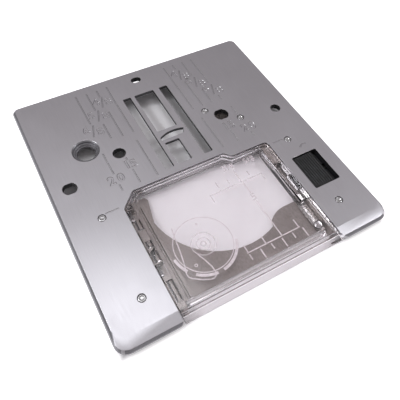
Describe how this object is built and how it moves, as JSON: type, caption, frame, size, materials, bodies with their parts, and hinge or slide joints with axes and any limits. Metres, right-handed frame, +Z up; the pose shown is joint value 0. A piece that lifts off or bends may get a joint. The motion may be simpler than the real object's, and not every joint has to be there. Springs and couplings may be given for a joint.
{
  "type": "sewing machine needle plate unit",
  "caption": "Flat steel needle plate with feed slots, a clear tilting bobbin cover, a sliding release button and a pressed tray beneath.",
  "frame": {"origin": "on the surface the unit stands on, under the middle of its outline", "axes": "+X to the right, towards the release button; +Y to the back, away from the operator; +Z up, out of the sewing surface"},
  "size_m": [0.0742, 0.0772, 0.0049],
  "materials": {
    "plate_steel": "fine brushed satin steel, bevelled front edge",
    "nickel": "warm grey nickel plating on pressed steel",
    "clear_plastic": "clear moulded acrylic, polished",
    "black_plastic": "black moulded plastic with fine ribs",
    "dark_steel": "blackened steel",
    "spring_steel": "warm bright spring steel",
    "rivet_steel": "bright upset steel"
  },
  "bodies": {
    "plate_unit": {"needle_plate": "plate_steel", "base_plate": "nickel", "locator_plate": "nickel", "spring_pin": "rivet_steel", "release_spring": "spring_steel", "lift_spring_rivet": "rivet_steel", "plate_rivet_front_left": "rivet_steel", "plate_rivet_front_right": "rivet_steel", "plate_rivet_rear_left": "rivet_steel", "plate_rivet_rear_right": "rivet_steel", "locator_rivet_left": "rivet_steel", "locator_rivet_right": "rivet_steel"},
    "cover": {"bobbin_cover": "clear_plastic"},
    "release": {"release_button": "black_plastic", "latch_slide": "dark_steel"},
    "lift_leaf": {"lift_spring": "spring_steel"}
  },
  "joints": [
    {"name": "cover_tilt", "type": "hinge", "parent": "plate_unit", "child": "cover", "pos_m": [-0.0218, -0.0188, 0.0049], "axis": [0, -1, 0], "range_deg": [0, 60]},
    {"name": "release_slide", "type": "slide", "parent": "plate_unit", "child": "release", "axis": [1, 0, 0], "range_m": [0, 0.0013], "stiffness_N_per_m": 200, "springref_m": -0.003, "deforming": ["release_spring"]},
    {"name": "lift_spring_flex", "type": "hinge", "parent": "plate_unit", "child": "lift_leaf", "pos_m": [0.01975, -0.03285, 0.00125], "axis": [1, 0, 0], "range_deg": [0, 6], "deforming": ["lift_spring"]}
  ],
  "couplings": [
    {"joint": "lift_spring_flex", "follows": "cover_tilt", "ratio": 0.1}
  ]
}
